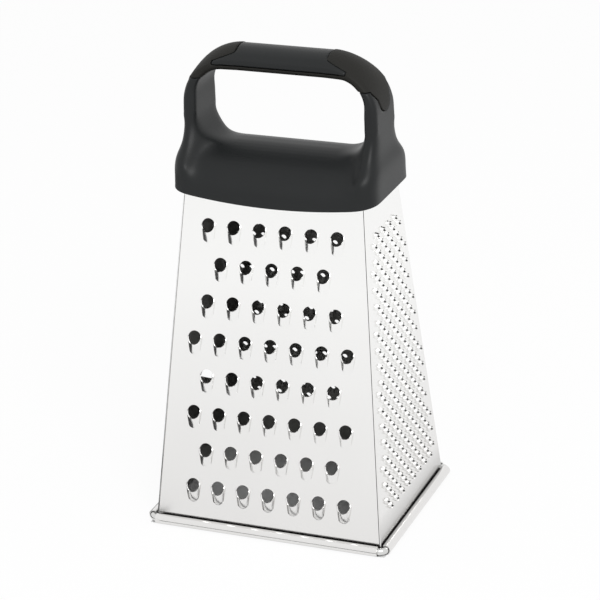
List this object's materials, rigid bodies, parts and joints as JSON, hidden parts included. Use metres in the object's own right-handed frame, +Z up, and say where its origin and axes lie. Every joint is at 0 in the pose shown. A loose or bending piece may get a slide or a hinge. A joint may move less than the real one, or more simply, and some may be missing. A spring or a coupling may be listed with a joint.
{
  "type": "box grater",
  "caption": "Four-sided box grater: pressed steel sides leaning in towards the top, feet rolled round a wire ring, and a moulded bail handle with soft grip zones.",
  "frame": {"origin": "on the floor under the middle of the body", "axes": "+Z up, the coarse side faces -Y and the fine side faces +X"},
  "size_m": [0.1208, 0.097, 0.2242],
  "materials": {
    "panel_steel": "bright stainless sheet with a satin grain",
    "wire_steel": "drawn stainless wire",
    "hard_plastic": "moulded near-black, matt",
    "soft_rubber": "soft-touch overmould, slightly olive black",
    "inner_plastic": "moulded black, matt",
    "screw_steel": "plated steel"
  },
  "bodies": {
    "root": {"coarse_panel": "panel_steel", "fine_panel": "panel_steel", "medium_panel": "panel_steel", "slicing_panel": "panel_steel", "base_wire": "wire_steel", "handle_frame": "hard_plastic", "soft_grip": "soft_rubber", "retainer_plate": "inner_plastic", "retainer_screw_left": "screw_steel", "retainer_screw_right": "screw_steel"}
  },
  "joints": []
}
